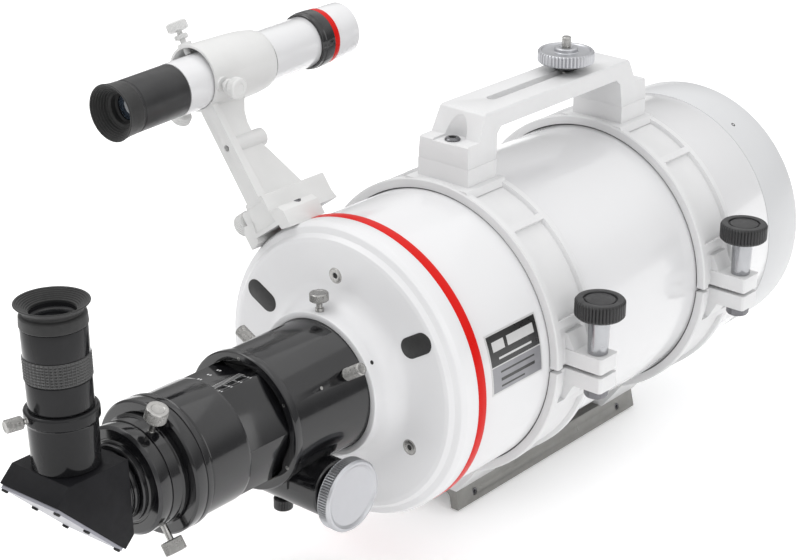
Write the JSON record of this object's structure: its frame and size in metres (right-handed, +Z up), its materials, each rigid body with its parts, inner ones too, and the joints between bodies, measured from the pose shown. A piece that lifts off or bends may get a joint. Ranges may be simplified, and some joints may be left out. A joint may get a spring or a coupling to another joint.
{
  "type": "maksutov telescope",
  "caption": "Compact closed-tube telescope with hinged clamp rings, carry handle, dovetail bar, rotating rack focuser, mirror diagonal with eyepiece, and a finder on a sliding foot",
  "frame": {"origin": "middle of the dovetail bar's lower face, on the bar's centre plane", "axes": "+Z up from the bar towards the carry handle, +Y along the optical axis towards the sky, +X to the right when standing behind the eyepiece end"},
  "size_m": [0.2645, 0.6206, 0.316],
  "materials": {
    "white_enamel": "smooth gloss enamel",
    "grey_white_enamel": "smooth satin enamel",
    "red_band": "gloss paint",
    "cast_white": "fine textured enamel on a casting",
    "black_anodised": "black anodised, glossy",
    "black_matte": "matte black",
    "dark_grey": "fine grained",
    "steel": "turned",
    "chrome": "polished",
    "aluminium": "brushed",
    "brass": "machined",
    "glass": "polished, coated",
    "mirror": "aluminised",
    "black_plastic": "moulded",
    "rubber": "moulded",
    "felt": "thin self-adhesive felt"
  },
  "bodies": {
    "tube_assembly": {"main_tube": "white_enamel", "stripe_ring": "red_band", "front_cell": "grey_white_enamel", "corrector_meniscus": "glass", "corrector_retainer": "black_matte", "secondary_baffle": "black_matte", "primary_mirror": "mirror", "mirror_cell": "black_matte", "baffle_tube": "black_matte", "rear_cell": "cast_white", "fixing_screws": "steel", "lower_rings": "cast_white", "felt_lower": "felt", "hinge_pins": "steel", "clamp_nuts": "steel", "dovetail_bar": "aluminium", "finder_shoe": "cast_white"},
    "upper_ring_set": {"upper_rings": "cast_white", "felt_upper": "felt", "carry_handle": "cast_white", "handle_screws": "steel"},
    "clamp_knob_rear": {"clamp_knob_rear": "black_plastic"},
    "clamp_knob_front": {"clamp_knob_front": "black_plastic"},
    "camera_screw": {"camera_stud": "steel"},
    "camera_disc": {"camera_lock_disc": "aluminium"},
    "collar_screw": {"collar_screw": "steel"},
    "body_screw_right": {"body_screw_right": "steel"},
    "body_screw_left": {"body_screw_left": "steel"},
    "shoe_lock": {"shoe_lock_screw": "cast_white"},
    "focuser": {"focuser_body": "black_anodised", "focuser_flange": "black_anodised", "flange_screws": "steel"},
    "pinion": {"pinion_shaft": "steel", "focus_knobs": "aluminium"},
    "focus_lock": {"focus_lock_screw": "black_plastic"},
    "drawtube": {"drawtube": "black_anodised", "rack": "brass", "focuser_adapter": "black_anodised", "eyepiece_reducer": "black_anodised"},
    "nose_screw_upper": {"nose_screw_upper": "chrome"},
    "nose_screw_lower": {"nose_screw_lower": "chrome"},
    "diagonal": {"diagonal_housing": "dark_grey", "diagonal_cover": "dark_grey", "diagonal_mirror": "mirror", "diagonal_nose": "black_anodised", "eyepiece_holder": "black_anodised"},
    "holder_screw": {"holder_screw": "chrome"},
    "eyepiece": {"eyepiece_body": "black_anodised", "eyepiece_eyecup": "rubber", "eyepiece_lenses": "glass"},
    "finder": {"finder_bracket": "cast_white", "finder_tube": "white_enamel", "finder_eyepiece_barrel": "black_plastic", "finder_lenses": "glass", "finder_lock_ring": "black_anodised", "finder_hood": "white_enamel", "finder_oring": "rubber"},
    "finder_screw_top": {"finder_screw_top": "cast_white"},
    "finder_screw_right": {"finder_screw_right": "cast_white"},
    "finder_screw_lower": {"finder_screw_lower": "cast_white"}
  },
  "joints": [
    {"name": "ring_hinge", "type": "hinge", "parent": "tube_assembly", "child": "upper_ring_set", "pos_m": [-0.1006, -0.001, 0.1242], "axis": [0, -1, 0], "range_deg": [0, 25]},
    {"name": "clamp_knob_rear_turn", "type": "hinge", "parent": "upper_ring_set", "child": "clamp_knob_rear", "pos_m": [0.1112, -0.0818, 0.1442], "axis": [0, 0, 1], "continuous": true},
    {"name": "clamp_knob_front_turn", "type": "hinge", "parent": "upper_ring_set", "child": "clamp_knob_front", "pos_m": [0.1112, 0.08035, 0.1442], "axis": [0, 0, 1], "continuous": true},
    {"name": "camera_screw_slide", "type": "slide", "parent": "upper_ring_set", "child": "camera_screw", "axis": [0, 1, 0], "range_m": [-0.075, 0.011]},
    {"name": "camera_disc_turn", "type": "hinge", "parent": "camera_screw", "child": "camera_disc", "pos_m": [0, 0.0303, 0.2682], "axis": [0, 0, 1], "continuous": true},
    {"name": "collar_screw_turn", "type": "hinge", "parent": "tube_assembly", "child": "collar_screw", "pos_m": [-0.00218, -0.2035, 0.17415], "axis": [-0.0436, 0, 0.999], "continuous": true},
    {"name": "shoe_lock_turn", "type": "hinge", "parent": "tube_assembly", "child": "shoe_lock", "pos_m": [-0.07907, -0.1775, 0.19901], "axis": [-0.809, 0, -0.5878], "continuous": true},
    {"name": "focuser_rotation", "type": "hinge", "parent": "tube_assembly", "child": "focuser", "pos_m": [0, -0.209, 0.1242], "axis": [0, 1, 0], "range_deg": [-90, 90]},
    {"name": "body_screw_right_turn", "type": "hinge", "parent": "focuser", "child": "body_screw_right", "pos_m": [0.04048, -0.222, 0.14999], "axis": [0.8434, 0, 0.5373], "continuous": true},
    {"name": "body_screw_left_turn", "type": "hinge", "parent": "focuser", "child": "body_screw_left", "pos_m": [-0.04258, -0.222, 0.14636], "axis": [-0.887, 0, 0.4617], "continuous": true},
    {"name": "drawtube_slide", "type": "slide", "parent": "focuser", "child": "drawtube", "axis": [0, 1, 0], "range_m": [-0.05, 0.015]},
    {"name": "pinion_turn", "type": "hinge", "parent": "focuser", "child": "pinion", "pos_m": [0, -0.2394, 0.0822], "axis": [1, 0, 0], "range_deg": [-216, 718]},
    {"name": "focus_lock_turn", "type": "hinge", "parent": "focuser", "child": "focus_lock", "pos_m": [0, -0.2394, 0.0622], "axis": [0, 0, -1], "continuous": true},
    {"name": "nose_screw_upper_turn", "type": "hinge", "parent": "drawtube", "child": "nose_screw_upper", "pos_m": [0.01349, -0.35, 0.15758], "axis": [0.3746, 0, 0.9272], "continuous": true},
    {"name": "nose_screw_lower_turn", "type": "hinge", "parent": "drawtube", "child": "nose_screw_lower", "pos_m": [0.02116, -0.351, 0.09508], "axis": [0.5878, 0, -0.809], "continuous": true},
    {"name": "diagonal_rotation", "type": "hinge", "parent": "drawtube", "child": "diagonal", "pos_m": [0, -0.362, 0.1242], "axis": [0, 1, 0], "range_deg": [-90, 90]},
    {"name": "holder_screw_turn", "type": "hinge", "parent": "diagonal", "child": "holder_screw", "pos_m": [-0.00734, -0.42109, 0.17892], "axis": [-0.2418, -0.9703, -0.0068], "continuous": true},
    {"name": "eyepiece_slide", "type": "slide", "parent": "diagonal", "child": "eyepiece", "axis": [-0.0279, 0, 0.9996], "range_m": [0, 0.03]},
    {"name": "finder_slide", "type": "slide", "parent": "tube_assembly", "child": "finder", "axis": [0, -1, 0], "range_m": [0, 0.04]},
    {"name": "finder_screw_top_turn", "type": "hinge", "parent": "finder", "child": "finder_screw_top", "pos_m": [-0.12905, -0.185, 0.30681], "axis": [-0.5, 0, 0.866], "continuous": true},
    {"name": "finder_screw_right_turn", "type": "hinge", "parent": "finder", "child": "finder_screw_right", "pos_m": [-0.08705, -0.185, 0.28256], "axis": [1, 0, 0], "continuous": true},
    {"name": "finder_screw_lower_turn", "type": "hinge", "parent": "finder", "child": "finder_screw_lower", "pos_m": [-0.12905, -0.185, 0.25831], "axis": [-0.5, 0, -0.866], "continuous": true}
  ],
  "couplings": [
    {"joint": "pinion_turn", "follows": "drawtube_slide", "rad_per_m": -250}
  ]
}
